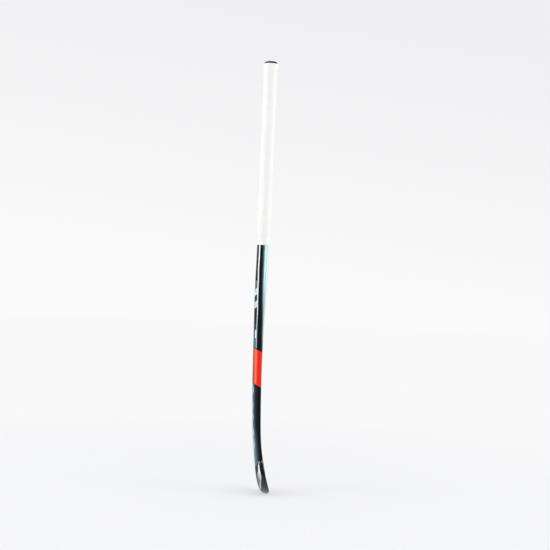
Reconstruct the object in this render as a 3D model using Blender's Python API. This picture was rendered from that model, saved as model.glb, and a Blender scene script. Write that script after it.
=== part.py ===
"""Field hockey stick: a hollow laminate shell with a hooked head, twin inner tubes,
foam and elastomer cores, a rubber butt cap and a wrapped handle.

The stick is designed flat and then bowed. In the flat layout x runs across the
playing face (the toe towards -x), "run" follows the centre line of the shaft and the
hook (on the straight shaft it equals the height above the foot), and depth goes from
the playing face (0) to the rounded back. bow() then bends the layout along the
profile of the face. All sizes below are in millimetres and angles in degrees.
"""
import math

import bmesh
import bpy
from mathutils import Vector

MM = 0.001

# Overall layout
HOOK_RADIUS = 36.5          # centre line of the hook
ARC_TOP = 59.0              # height where the shaft runs into the hook
HOOK_TURN = 170.0           # the toe leans 10 degrees outwards
TOE_CAP = 22.0              # rounded end of the toe beyond the arc
SHELL_END = 922.5           # butt end of the laminate
CROWN_HEIGHT = 3.6          # crown of the butt cap above its rim

# Run, full width, depth, share of the half width that is flat face, height of the
# widest point as a share of the depth, roundness of the back (2 is an ellipse), and
# how far the face lies behind the face profile
SECTIONS = (
    (-72, 41.0, 15.5, 0.76, 0.34, 2.2, 0.0),
    (-49, 41.5, 16.0, 0.77, 0.32, 2.2, 0.0),
    (-20, 43.0, 18.8, 0.80, 0.27, 2.2, 0.0),
    (15, 45.0, 20.4, 0.82, 0.24, 2.0, 0.0),
    (59, 45.0, 18.8, 0.80, 0.28, 2.1, 0.0),
    (100, 45.6, 17.2, 0.77, 0.34, 2.3, 0.0),
    (150, 46.4, 17.8, 0.76, 0.36, 2.3, 0.0),
    (200, 46.0, 18.7, 0.76, 0.37, 2.3, 0.0),
    (256, 44.2, 19.4, 0.74, 0.38, 2.3, 0.0),
    (310, 41.4, 20.2, 0.68, 0.40, 2.3, 0.0),
    (365, 38.2, 22.4, 0.54, 0.44, 2.3, 0.0),
    (408, 36.0, 24.6, 0.42, 0.46, 2.2, 0.0),
    (473, 33.6, 26.4, 0.30, 0.48, 2.2, 0.0),
    (527, 32.6, 26.6, 0.24, 0.50, 2.1, 0.05),
    (550, 30.2, 24.2, 0.20, 0.50, 2.1, 1.25),
    (700, 30.0, 24.0, 0.20, 0.50, 2.1, 1.35),
    (864, 29.2, 23.7, 0.20, 0.50, 2.1, 1.5),
    (930, 29.2, 23.7, 0.20, 0.50, 2.1, 1.5),
)

# Height along the face and its lean away from the handle axis
FACE_LEAN = (
    (0, 17.0),
    (24, 17.0),
    (38, 13.0),
    (55, 10.6),
    (75, 9.4),
    (95, 7.4),
    (132, 2.8),
    (215, 1.1),
    (300, -0.2),
    (350, -1.9),
    (450, -1.8),
    (540, 0.0),
    (940, 0.0),
)
LEAN_STEP = 2.0

# Edge rounding at the tip of the toe
TIP_FACE_ROUND = 3.5
TIP_BACK_ROUND = 6.5

# Laminate and inner pieces
HEAD_WALL = 3.2
SHAFT_WALL = 2.2
WALL_CHANGE = (59.0, 105.0)
FIT = 0.3                   # gap between pieces that touch
TUBE_WALL = 1.0
SPINE_GAP = 0.2             # half of the gap between the two tubes
DAMPER_DEPTH = 1.5
DAMPER_RUN = (-48.0, 96.0)
CORE_END = 111.0
TUBE_RUN = (111.3, 841.0)
TUBE_PLUG_LENGTH = 26.0
HANDLE_DAMPER_RUN = (841.3, 861.0)
HANDLE_PLUG_RUN = (861.3, 922.2)

# Handle covering: run, inner and outer distance from the laminate
GRIP_LAYER = (
    (532.5, 0.35, 0.85),
    (550.0, 0.90, 1.80),
    (554.0, 0.90, 2.05),
    (888.0, 0.90, 2.05),
    (899.0, 1.75, 2.65),
    (912.0, 2.05, 3.35),
    (923.4, 2.30, 3.60),
)
TAPE_LAYER = (
    (531.0, 1.15, 1.45),
    (532.5, 1.15, 1.45),
    (550.0, 2.15, 2.45),
)
UNDERLAY_RUN = (555.0, 898.5)
UNDERLAY_LAYER = (0.30, 0.60)
SKIRT_START = 900.0
SKIRT_LAYER = (0.30, 1.40)    # at its thin lower end
CAP_RIM = 925.3             # where the side of the cap turns into its crown
RIM_OUTSIDE = 2.00          # distance of the rim from the laminate
CROWN_ANGLE = 87.0
CROWN_SHAPE = 2 / 3         # flat on top, with round shoulders

# How finely the surfaces are divided
FACE_PARTS = 4
CORNER_PARTS = 3
BACK_PARTS = 10
ARC_PARTS = 16
CROWN_PARTS = 5
SHAFT_RUNS = (
    70, 80, 90, 100, 111, 123, 136, 150, 168, 190, 215, 240, 265, 290, 315, 340,
    365, 390, 420, 450, 480, 505, 525, 532.5, 540, 550, 563, 630, 700, 780, 864,
)
TIP_RUNS = (0.5, 1.6, 3.4, 6.5, 10.5, 15.5)

ARC_LENGTH = math.radians(HOOK_TURN) * HOOK_RADIUS
TOE_RUN = ARC_TOP - ARC_LENGTH
TIP_RUN = TOE_RUN - TOE_CAP


def smooth_table(rows, at):
    """Values of a table at one place, by a smooth curve that never overshoots."""
    last = len(rows) - 1
    if at <= rows[0][0]:
        return rows[0][1:]
    if at >= rows[last][0]:
        return rows[last][1:]
    i = max(k for k in range(last) if rows[k][0] <= at)
    span = rows[i + 1][0] - rows[i][0]
    t = (at - rows[i][0]) / span

    def slope(k, column):
        if k == 0 or k == last:
            return 0.0
        before = (rows[k][column] - rows[k - 1][column]) / (rows[k][0] - rows[k - 1][0])
        after = (rows[k + 1][column] - rows[k][column]) / (rows[k + 1][0] - rows[k][0])
        if before * after <= 0:
            return 0.0
        return 2 * before * after / (before + after)

    values = []
    for column in range(1, len(rows[0])):
        a, b = rows[i][column], rows[i + 1][column]
        da, db = slope(i, column) * span, slope(i + 1, column) * span
        values.append(
            (2 * t**3 - 3 * t**2 + 1) * a
            + (t**3 - 2 * t**2 + t) * da
            + (3 * t**2 - 2 * t**3) * b
            + (t**3 - t**2) * db
        )
    return values


def straight_table(rows, at):
    """Values of a table at one place, joined by straight lines."""
    for low, high in zip(rows, rows[1:]):
        if at <= high[0]:
            t = max(0.0, (at - low[0]) / (high[0] - low[0]))
            return [a + (b - a) * t for a, b in zip(low[1:], high[1:])]
    return rows[-1][1:]


def face_profile():
    """Points (height along the face, y, z) of the bowed face, from the foot up."""
    points = [(0.0, 0.0, 0.0)]
    while points[-1][0] < FACE_LEAN[-1][0]:
        s, y, z = points[-1]
        lean = math.radians(smooth_table(FACE_LEAN, s + LEAN_STEP / 2)[0])
        rise = (LEAN_STEP * math.sin(lean), LEAN_STEP * math.cos(lean))
        points.append((s + LEAN_STEP, y + rise[0], z + rise[1]))
    return points


PROFILE = face_profile()


def bow(x, s, depth):
    """A point of the flat layout, bent along the face profile."""
    i = min(max(int(s // LEAN_STEP), 0), len(PROFILE) - 2)
    low, high = PROFILE[i], PROFILE[i + 1]
    t = (s - low[0]) / LEAN_STEP
    y = low[1] + (high[1] - low[1]) * t
    z = low[2] + (high[2] - low[2]) * t
    lean = math.radians(smooth_table(FACE_LEAN, s)[0])
    return Vector((x, y + depth * math.cos(lean), z - depth * math.sin(lean))) * MM


def centre_line(run):
    """Centre (x, s) and outward direction of the stick's centre line."""
    if run >= ARC_TOP:
        return (0.0, run), (1.0, 0.0)
    angle = min((ARC_TOP - run) / HOOK_RADIUS, math.radians(HOOK_TURN))
    out = (math.cos(angle), -math.sin(angle))
    x = HOOK_RADIUS * (out[0] - 1)
    s = ARC_TOP + HOOK_RADIUS * out[1]
    beyond = max(0.0, TOE_RUN - run)
    return (x - beyond * math.sin(angle), s - beyond * math.cos(angle)), out


def rounding(radius, from_edge):
    """How far a rounded edge falls away at a distance from the edge."""
    if from_edge >= radius:
        return 0.0
    return radius - math.sqrt(max(0.0, radius**2 - (radius - from_edge) ** 2))


def section(run, inset):
    """Sizes of the cross-section, drawn in by inset."""
    width, depth, flat, corner, roundness, lift = smooth_table(SECTIONS, run)
    from_tip = run - TIP_RUN - inset
    cap = TOE_CAP - inset
    plan = math.sqrt(max(0.0, 1 - (1 - from_tip / cap) ** 2)) if from_tip < cap else 1.0
    face_fall = rounding(max(TIP_FACE_ROUND - inset, 0.6), from_tip)
    back_fall = rounding(max(TIP_BACK_ROUND - inset, 0.6), from_tip)
    half = (width / 2 - inset) * plan
    thick = depth - 2 * inset - face_fall - back_fall
    low = lift + inset + face_fall
    flat_half = min(flat * width / 2 * plan, 0.9 * half)
    widest = min(max(corner * depth - inset, 0.2 * thick), 0.5 * thick)
    return half, thick, low, flat_half, widest, roundness


def back_curve(half, thick, widest, roundness, angle):
    across = half * abs(math.cos(angle)) ** (2 / roundness) * math.copysign(1, math.cos(angle))
    return across, widest + (thick - widest) * math.sin(angle) ** (2 / roundness)


def full_outline(run, inset, front=0.0):
    """Closed outline (across, depth) of the section; front cuts its face back."""
    half, thick, low, flat_half, widest, roundness = section(run, inset)
    outline = [(flat_half * (2 * i / FACE_PARTS - 1), 0.0) for i in range(FACE_PARTS + 1)]
    corner = []
    for i in range(1, CORNER_PARTS):
        angle = math.pi / 2 * i / CORNER_PARTS
        across = flat_half + (half - flat_half) * math.sin(angle)
        corner.append((across, widest * (1 - math.cos(angle))))
    outline += corner
    for i in range(BACK_PARTS + 1):
        outline.append(back_curve(half, thick, widest, roundness, math.pi * i / BACK_PARTS))
    outline += [(-across, depth) for across, depth in reversed(corner)]
    return [(across, low + max(depth, front)) for across, depth in outline]


def half_outline(run, inset, side, extra=0.0):
    """Closed outline of one side of the section, beside the central spine."""
    half, thick, low, flat_half, widest, roundness = section(run, inset + extra)
    spine = SPINE_GAP + extra
    outline = [(spine, 0.0), (max(flat_half, spine + 0.5), 0.0)]
    for i in range(1, CORNER_PARTS):
        angle = math.pi / 2 * i / CORNER_PARTS
        across = outline[1][0] + (half - outline[1][0]) * math.sin(angle)
        outline.append((across, widest * (1 - math.cos(angle))))
    quarter = BACK_PARTS // 2
    for i in range(quarter):
        angle = math.pi / 2 * i / quarter
        outline.append(back_curve(half, thick, widest, roundness, angle))
    outline.append((spine, thick))
    outline.append((spine, thick / 2))
    if side < 0:
        outline = [(-across, depth) for across, depth in reversed(outline)]
    return [(across, low + depth) for across, depth in outline]


def strip_outline(run, low, thick):
    """Outline of a flat strip behind the playing face."""
    flat_half = section(run, HEAD_WALL + FIT)[3] - 0.5
    edge = (flat_half + thick / 3, low + thick / 2)
    across = [flat_half * (2 * i / FACE_PARTS - 1) for i in range(FACE_PARTS + 1)]
    front = [(x, low) for x in across]
    back = [(x, low + thick) for x in reversed(across)]
    return front + [edge] + back + [(-edge[0], edge[1])]


def ring(run, outline):
    """An outline placed on the centre line and bowed."""
    (x, s), (out_x, out_s) = centre_line(run)
    return [bow(x + across * out_x, s + across * out_s, depth) for across, depth in outline]


def shaft_runs(low, high):
    """The dividing runs from low to high, both included."""
    arc = [ARC_TOP - ARC_LENGTH * i / ARC_PARTS for i in range(ARC_PARTS, -1, -1)]
    inside = [run for run in arc + list(SHAFT_RUNS) if low + 0.6 < run < high - 0.6]
    return [low] + inside + [high]


def toe_runs(inset, high):
    """The dividing runs from the rounded tip, drawn in by inset, up to high."""
    cap = (TOE_CAP - inset) / TOE_CAP
    tip = [TIP_RUN + inset + run * cap for run in TIP_RUNS]
    return tip + shaft_runs(TOE_RUN, high)


def wall_at(run):
    low, high = WALL_CHANGE
    t = min(max((run - low) / (high - low), 0.0), 1.0)
    return HEAD_WALL + (SHAFT_WALL - HEAD_WALL) * t


def add_skin(mesh, rings):
    """Join a row of rings with quads; returns the first and the last loop."""
    loops = [[mesh.verts.new(point) for point in points] for points in rings]
    for low, high in zip(loops, loops[1:]):
        for i, vert in enumerate(low):
            after = (i + 1) % len(low)
            mesh.faces.new((vert, low[after], high[after], high[i]))
    return loops[0], loops[-1]


def join_loops(mesh, inner, outer):
    for i, vert in enumerate(inner):
        after = (i + 1) % len(inner)
        mesh.faces.new((vert, inner[after], outer[after], outer[i]))


def solid_mesh(rings):
    """A closed solid through a row of rings."""
    mesh = bmesh.new()
    first, last = add_skin(mesh, rings)
    mesh.faces.new(first)
    mesh.faces.new(last)
    return mesh


def sleeve_mesh(outer_rings, inner_rings):
    """A sleeve, open at both ends."""
    mesh = bmesh.new()
    outer_first, outer_last = add_skin(mesh, outer_rings)
    inner_first, inner_last = add_skin(mesh, inner_rings)
    join_loops(mesh, outer_first, inner_first)
    join_loops(mesh, inner_last, outer_last)
    return mesh


def cup_mesh(outer_rings, inner_rings):
    """A shell closed at its first rings and open at its last."""
    mesh = bmesh.new()
    outer_first, outer_last = add_skin(mesh, outer_rings)
    inner_first, inner_last = add_skin(mesh, inner_rings)
    mesh.faces.new(outer_first)
    mesh.faces.new(inner_first)
    join_loops(mesh, inner_last, outer_last)
    return mesh


def shell():
    outer = [ring(run, full_outline(run, 0.0)) for run in toe_runs(0.0, SHELL_END)]
    inner = []
    for run in toe_runs(HEAD_WALL, SHELL_END):
        inner.append(ring(run, full_outline(run, wall_at(run))))
    return cup_mesh(outer, inner)


def side_tube(side):
    outer, inner = [], []
    for run in shaft_runs(*TUBE_RUN):
        inset = wall_at(run) + FIT
        outer.append(ring(run, half_outline(run, inset, side)))
        inner.append(ring(run, half_outline(run, inset, side, TUBE_WALL)))
    return sleeve_mesh(outer, inner)


def tube_plug(side):
    low = TUBE_RUN[0]
    rings = []
    for run in shaft_runs(low, low + TUBE_PLUG_LENGTH):
        inset = wall_at(run) + FIT
        rings.append(ring(run, half_outline(run, inset, side, TUBE_WALL + FIT)))
    return solid_mesh(rings)


def head_core():
    inset = HEAD_WALL + FIT
    front = DAMPER_DEPTH + FIT
    rings = []
    for run in toe_runs(inset, CORE_END):
        rings.append(ring(run, full_outline(run, inset, front)))
    return solid_mesh(rings)


def head_damper():
    low = HEAD_WALL + FIT
    rings = [ring(run, strip_outline(run, low, DAMPER_DEPTH)) for run in shaft_runs(*DAMPER_RUN)]
    return solid_mesh(rings)


def handle_filler(low, high):
    """A solid that fills the bore of the handle."""
    inset = SHAFT_WALL + FIT
    return solid_mesh([ring(run, full_outline(run, inset)) for run in shaft_runs(low, high)])


def layer(rows):
    """A sleeve over the laminate whose faces follow a table of distances."""
    outer, inner = [], []
    between = shaft_runs(rows[0][0], rows[-1][0])
    for run in sorted(set(between) | {row[0] for row in rows}):
        inside, outside = straight_table(rows, run)
        outer.append(ring(run, full_outline(run, -outside)))
        inner.append(ring(run, full_outline(run, -inside)))
    return sleeve_mesh(outer, inner)


def butt_cap():
    """A rubber cup: its skirt slides over the laminate, its crown has round shoulders."""
    inside, outside = SKIRT_LAYER
    rim = full_outline(CAP_RIM, -RIM_OUTSIDE)
    centre = sum(depth for _, depth in rim) / len(rim)
    crown = []
    for i in range(CROWN_PARTS, 0, -1):
        angle = math.radians(CROWN_ANGLE) * i / CROWN_PARTS
        shrink = math.cos(angle) ** CROWN_SHAPE
        outline = [(across * shrink, centre + (depth - centre) * shrink) for across, depth in rim]
        crown.append(ring(CAP_RIM + CROWN_HEIGHT * math.sin(angle) ** CROWN_SHAPE, outline))
    outer = crown + [ring(CAP_RIM, rim), ring(SKIRT_START, full_outline(SKIRT_START, -outside))]
    under_crown = SHELL_END + FIT
    inner = [ring(run, full_outline(run, -inside)) for run in (under_crown, SKIRT_START)]
    return cup_mesh(outer, inner)


def material(name, colour, roughness, metallic=0.0):
    made = bpy.data.materials.new(name)
    made.use_nodes = True
    shader = made.node_tree.nodes["Principled BSDF"]
    shader.inputs["Base Color"].default_value = (*colour, 1.0)
    shader.inputs["Roughness"].default_value = roughness
    shader.inputs["Metallic"].default_value = metallic
    made.diffuse_color = (*colour, 1.0)
    return made


def add_object(name, mesh, look, root):
    """Turn a bmesh into a smooth-shaded object, its faces pointing out."""
    bmesh.ops.recalc_face_normals(mesh, faces=mesh.faces)
    data = bpy.data.meshes.new(name)
    mesh.to_mesh(data)
    mesh.free()
    data.shade_smooth()
    data.set_sharp_from_angle(angle=math.radians(35))
    data.materials.append(material(name, *look))
    made = bpy.data.objects.new(name, data)
    made.parent = root
    bpy.context.collection.objects.link(made)
    return made


def foot_centre(pieces):
    """The middle of the whole stick's box, at the height of its lowest point."""
    points = [vert.co for piece in pieces for vert in piece.data.vertices]
    low = Vector([min(point[axis] for point in points) for axis in range(3)])
    high = Vector([max(point[axis] for point in points) for axis in range(3)])
    middle = (low + high) / 2
    return Vector((middle.x, middle.y, low.z))


def build():
    for old in list(bpy.data.objects):
        bpy.data.objects.remove(old, do_unlink=True)
    root = bpy.data.objects.new("stick_frame", None)
    bpy.context.collection.objects.link(root)

    foam = ((0.62, 0.52, 0.30), 0.9)
    laminate = ((0.035, 0.036, 0.040), 0.4)
    elastomer = ((0.10, 0.22, 0.24), 0.6)
    underlay = [(run, *UNDERLAY_LAYER) for run in UNDERLAY_RUN]
    pieces = (
        ("outer_shell", shell(), ((0.012, 0.014, 0.017), 0.18)),
        ("toe_side_tube", side_tube(-1), laminate),
        ("heel_side_tube", side_tube(1), laminate),
        ("toe_tube_plug", tube_plug(-1), foam),
        ("heel_tube_plug", tube_plug(1), foam),
        ("head_core", head_core(), foam),
        ("head_damper", head_damper(), elastomer),
        ("handle_damper", handle_filler(*HANDLE_DAMPER_RUN), elastomer),
        ("handle_plug", handle_filler(*HANDLE_PLUG_RUN), foam),
        ("butt_cap", butt_cap(), ((0.015, 0.015, 0.016), 0.55)),
        ("grip_underlay", layer(underlay), ((0.55, 0.53, 0.48), 0.8)),
        ("grip_wrap", layer(GRIP_LAYER), ((0.86, 0.85, 0.83), 0.7)),
        ("finishing_tape", layer(TAPE_LAYER), ((0.84, 0.82, 0.80), 0.6)),
    )
    made = [add_object(name, mesh, look, root) for name, mesh, look in pieces]
    root.location = -foot_centre(made)


build()
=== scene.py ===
"""Looks of the field hockey stick: a lacquered laminate shell with printed panels, a
wound cushion grip closed by tape, a rubber end cap, and the materials of what is inside.

The stick is laid out flat and then bowed, as in the design. In the flat layout x runs
across the playing face (the toe towards -x), run follows the centre line of the shaft
and the hook, and depth goes from the playing face (0) to the rounded back. Lengths are
in millimetres unless a comment says metres, and angles are in degrees.
"""

import math
from functools import reduce

import bmesh
import bpy
from mathutils import Matrix, Vector


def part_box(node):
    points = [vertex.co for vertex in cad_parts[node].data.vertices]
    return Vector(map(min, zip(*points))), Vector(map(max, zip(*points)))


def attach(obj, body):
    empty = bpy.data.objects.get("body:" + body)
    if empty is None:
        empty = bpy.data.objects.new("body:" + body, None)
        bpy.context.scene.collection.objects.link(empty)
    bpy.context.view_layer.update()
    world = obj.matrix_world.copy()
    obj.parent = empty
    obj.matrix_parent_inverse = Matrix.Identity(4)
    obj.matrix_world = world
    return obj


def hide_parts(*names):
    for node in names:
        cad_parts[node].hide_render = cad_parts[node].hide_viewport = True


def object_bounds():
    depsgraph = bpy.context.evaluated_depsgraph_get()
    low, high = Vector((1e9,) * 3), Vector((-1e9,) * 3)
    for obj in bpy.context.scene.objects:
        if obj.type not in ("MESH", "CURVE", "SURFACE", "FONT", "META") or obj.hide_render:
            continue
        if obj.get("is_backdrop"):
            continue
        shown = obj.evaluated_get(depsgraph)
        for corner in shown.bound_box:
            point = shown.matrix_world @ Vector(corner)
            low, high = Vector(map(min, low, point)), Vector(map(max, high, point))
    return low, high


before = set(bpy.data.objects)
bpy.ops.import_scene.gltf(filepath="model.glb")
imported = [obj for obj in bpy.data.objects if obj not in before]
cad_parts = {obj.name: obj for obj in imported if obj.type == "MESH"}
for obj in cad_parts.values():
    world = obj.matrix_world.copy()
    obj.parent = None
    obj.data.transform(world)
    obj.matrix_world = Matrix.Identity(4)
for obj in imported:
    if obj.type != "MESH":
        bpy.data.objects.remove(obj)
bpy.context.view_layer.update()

MM = 0.001

# Layout of the design
HOOK_RADIUS = 36.5
ARC_TOP = 59.0
HOOK_TURN = 170.0
TOE_CAP = 22.0
SHELL_END = 922.5
CROWN_HEIGHT = 3.6
CAP_RIM = 925.3
CROWN_SHAPE = 2 / 3
TIP_FACE_ROUND = 3.5
TIP_BACK_ROUND = 6.5
HEAD_WALL = 3.2
SHAFT_WALL = 2.2
WALL_CHANGE = (59.0, 105.0)
FIT = 0.3
SKIRT_START = 900.0
SKIRT_LAYER = (0.30, 1.40)  # inner and outer distance from the laminate, at its lower end
RIM_OUTSIDE = 2.00

# Run, full width, depth, share of the half width that is flat face, height of the
# widest point as a share of the depth, roundness of the back, lift of the face
SECTIONS = (
    (-72, 41.0, 15.5, 0.76, 0.34, 2.2, 0.0),
    (-49, 41.5, 16.0, 0.77, 0.32, 2.2, 0.0),
    (-20, 43.0, 18.8, 0.80, 0.27, 2.2, 0.0),
    (15, 45.0, 20.4, 0.82, 0.24, 2.0, 0.0),
    (59, 45.0, 18.8, 0.80, 0.28, 2.1, 0.0),
    (100, 45.6, 17.2, 0.77, 0.34, 2.3, 0.0),
    (150, 46.4, 17.8, 0.76, 0.36, 2.3, 0.0),
    (200, 46.0, 18.7, 0.76, 0.37, 2.3, 0.0),
    (256, 44.2, 19.4, 0.74, 0.38, 2.3, 0.0),
    (310, 41.4, 20.2, 0.68, 0.40, 2.3, 0.0),
    (365, 38.2, 22.4, 0.54, 0.44, 2.3, 0.0),
    (408, 36.0, 24.6, 0.42, 0.46, 2.2, 0.0),
    (473, 33.6, 26.4, 0.30, 0.48, 2.2, 0.0),
    (527, 32.6, 26.6, 0.24, 0.50, 2.1, 0.05),
    (550, 30.2, 24.2, 0.20, 0.50, 2.1, 1.25),
    (700, 30.0, 24.0, 0.20, 0.50, 2.1, 1.35),
    (864, 29.2, 23.7, 0.20, 0.50, 2.1, 1.5),
    (930, 29.2, 23.7, 0.20, 0.50, 2.1, 1.5),
)

# Height along the face and its lean away from the handle axis
FACE_LEAN = (
    (0, 17.0), (24, 17.0), (38, 13.0), (55, 10.6), (75, 9.4), (95, 7.4), (132, 2.8),
    (215, 1.1), (300, -0.2), (350, -1.9), (450, -1.8), (540, 0.0), (940, 0.0),
)
LEAN_STEP = 2.0

# Run, inner and outer distance from the laminate
GRIP_LAYER = (
    (532.5, 0.35, 0.85), (550.0, 0.90, 1.80), (554.0, 0.90, 2.05), (888.0, 0.90, 2.05),
    (899.0, 1.75, 2.65), (912.0, 2.05, 3.35), (923.4, 2.30, 3.60),
)
TAPE_LAYER = ((531.0, 1.15), (532.5, 1.15), (550.0, 2.15))

# How finely the surfaces are divided
FACE_PARTS = 14
CORNER_PARTS = 9
BACK_PARTS = 44
ARC_PARTS = 72
SHAFT_STEP = 4.0
HANDLE_STEP = 16.0
TIP_RUNS = (0.03, 0.12, 0.3, 0.6, 1.0, 1.6, 2.4, 3.4, 4.8, 6.5, 8.5, 10.5, 13, 15.5, 18, 20)
STRAIGHT_START = 563.0      # from here up the shaft hardly changes
COLUMNS = 80                # divisions once round the handle
HANDLE_GIRTH = 95.0

# The wound grip: height gained in one turn, overlap of the turns, thickness of the
# pared edges as a share of the full thickness, and the air left between two turns
GRIP_PITCH = 25.0
GRIP_OVERLAP = 5.0
STRIP_WIDTH = GRIP_PITCH + GRIP_OVERLAP
PARED_EDGE = 0.15
TURN_GAP = 0.05
STRIP_CLIMB = 2.0           # width over which a turn climbs onto the one below
STRIP_CROWN = 0.08
STRIP_PLACES = (            # divisions across the strip
    0.0, 0.5, 1.7, 3.4, GRIP_OVERLAP, 7.0, 9.5, 12.0, 14.5, 17.0, 19.5, 21.5, 23.0, 23.8, 24.4,
    GRIP_PITCH, 26.0, 27.5, 29.0, 29.7, STRIP_WIDTH,
)

# The tape: turns, the column it starts at, thickness, air under it and under its lap, and
# the share of a turn in which it climbs over its start
TAPE_TURNS = 1.35
TAPE_START = 50
TAPE_THICKNESS = 0.26
TAPE_AIR = 0.06
LAP_AIR = 0.04
TAPE_CLIMB = 0.04

# The moulded top of the cap, a ring groove and a dimple: share of the rim, drop
CAP_TOP = (
    (0.70, 0.12), (0.66, 0.10), (0.645, 0.45), (0.62, 0.60), (0.59, 0.60), (0.565, 0.45),
    (0.55, 0.05), (0.53, 0.0), (0.30, 0.0), (0.17, 0.05), (0.15, 0.35), (0.08, 0.7), (0.02, 0.8),
)
CROWN_ANGLE = 88.0
CROWN_PARTS = 13
CROWN_EDGE = 0.72           # share of the rim where the round shoulder ends

ARC_LENGTH = math.radians(HOOK_TURN) * HOOK_RADIUS
TOE_RUN = ARC_TOP - ARC_LENGTH
TIP_RUN = TOE_RUN - TOE_CAP


# ---------------------------------------------------------------- flat layout and bow

def smooth_table(rows, at):
    """Values of a table at one place, by a smooth curve that never overshoots."""
    last = len(rows) - 1
    if at <= rows[0][0]:
        return rows[0][1:]
    if at >= rows[last][0]:
        return rows[last][1:]
    i = max(k for k in range(last) if rows[k][0] <= at)
    span = rows[i + 1][0] - rows[i][0]
    t = (at - rows[i][0]) / span

    def slope(k, column):
        if k == 0 or k == last:
            return 0.0
        before = (rows[k][column] - rows[k - 1][column]) / (rows[k][0] - rows[k - 1][0])
        after = (rows[k + 1][column] - rows[k][column]) / (rows[k + 1][0] - rows[k][0])
        if before * after <= 0:
            return 0.0
        return 2 * before * after / (before + after)

    values = []
    for column in range(1, len(rows[0])):
        a, b = rows[i][column], rows[i + 1][column]
        da, db = slope(i, column) * span, slope(i + 1, column) * span
        values.append(
            (2 * t**3 - 3 * t**2 + 1) * a
            + (t**3 - 2 * t**2 + t) * da
            + (3 * t**2 - 2 * t**3) * b
            + (t**3 - t**2) * db
        )
    return values


def straight_table(rows, at):
    """Values of a table at one place, joined by straight lines."""
    for low, high in zip(rows, rows[1:]):
        if at <= high[0]:
            t = max(0.0, (at - low[0]) / (high[0] - low[0]))
            return [a + (b - a) * t for a, b in zip(low[1:], high[1:])]
    return rows[-1][1:]


def face_profile():
    """Points (height along the face, y, z) of the bowed face, from the foot up."""
    points = [(0.0, 0.0, 0.0)]
    while points[-1][0] < FACE_LEAN[-1][0]:
        s, y, z = points[-1]
        lean = math.radians(smooth_table(FACE_LEAN, s + LEAN_STEP / 2)[0])
        rise = (LEAN_STEP * math.sin(lean), LEAN_STEP * math.cos(lean))
        points.append((s + LEAN_STEP, y + rise[0], z + rise[1]))
    return points


PROFILE = face_profile()


def bow(x, s, depth):
    """A point of the flat layout, bent along the face profile."""
    i = min(max(int(s // LEAN_STEP), 0), len(PROFILE) - 2)
    low, high = PROFILE[i], PROFILE[i + 1]
    t = (s - low[0]) / LEAN_STEP
    y = low[1] + (high[1] - low[1]) * t
    z = low[2] + (high[2] - low[2]) * t
    lean = math.radians(smooth_table(FACE_LEAN, s)[0])
    return Vector((x, y + depth * math.cos(lean), z - depth * math.sin(lean))) * MM


def centre_line(run):
    """Centre (x, s) and outward direction of the stick's centre line."""
    if run >= ARC_TOP:
        return (0.0, run), (1.0, 0.0)
    angle = min((ARC_TOP - run) / HOOK_RADIUS, math.radians(HOOK_TURN))
    out = (math.cos(angle), -math.sin(angle))
    x = HOOK_RADIUS * (out[0] - 1)
    s = ARC_TOP + HOOK_RADIUS * out[1]
    beyond = max(0.0, TOE_RUN - run)
    return (x - beyond * math.sin(angle), s - beyond * math.cos(angle)), out


def rounding(radius, from_edge):
    """How far a rounded edge falls away at a distance from the edge."""
    if from_edge >= radius:
        return 0.0
    return radius - math.sqrt(max(0.0, radius**2 - (radius - from_edge) ** 2))


def section(run, inset):
    """Sizes of the cross-section, drawn in by inset."""
    width, depth, flat, corner, roundness, lift = smooth_table(SECTIONS, run)
    from_tip = run - TIP_RUN - inset
    cap = TOE_CAP - inset
    plan = math.sqrt(max(0.0, 1 - (1 - from_tip / cap) ** 2)) if from_tip < cap else 1.0
    face_fall = rounding(max(TIP_FACE_ROUND - inset, 0.6), from_tip)
    back_fall = rounding(max(TIP_BACK_ROUND - inset, 0.6), from_tip)
    half = (width / 2 - inset) * plan
    thick = depth - 2 * inset - face_fall - back_fall
    low = lift + inset + face_fall
    flat_half = min(flat * width / 2 * plan, 0.9 * half)
    widest = min(max(corner * depth - inset, 0.2 * thick), 0.5 * thick)
    return half, thick, low, flat_half, widest, roundness


def outline(run, inset):
    """Closed outline (across, depth) of the section, from the toe side of its face."""
    half, thick, low, flat_half, widest, roundness = section(run, inset)
    points = [(flat_half * (2 * i / FACE_PARTS - 1), 0.0) for i in range(FACE_PARTS + 1)]
    corner = []
    for i in range(1, CORNER_PARTS):
        angle = math.pi / 2 * i / CORNER_PARTS
        across = flat_half + (half - flat_half) * math.sin(angle)
        corner.append((across, widest * (1 - math.cos(angle))))
    points += corner
    for i in range(BACK_PARTS + 1):
        angle = math.pi * i / BACK_PARTS
        side = abs(math.cos(angle)) ** (2 / roundness) * math.copysign(1, math.cos(angle))
        points.append((half * side, widest + (thick - widest) * math.sin(angle) ** (2 / roundness)))
    points += [(-across, depth) for across, depth in reversed(corner)]
    return [(across, low + depth) for across, depth in points]


def on_layout(run, across, depth):
    """A point of a section, in the flat layout."""
    (x, s), (out_x, out_s) = centre_line(run)
    return Vector((x + across * out_x, s + across * out_s, depth))


def wall_at(run):
    low, high = WALL_CHANGE
    t = min(max((run - low) / (high - low), 0.0), 1.0)
    return HEAD_WALL + (SHAFT_WALL - HEAD_WALL) * t


def spread(low, high, step):
    """Even places from low to high, both included, about a step apart."""
    count = max(1, round((high - low) / step))
    return [low + (high - low) * i / count for i in range(count + 1)]


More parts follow.
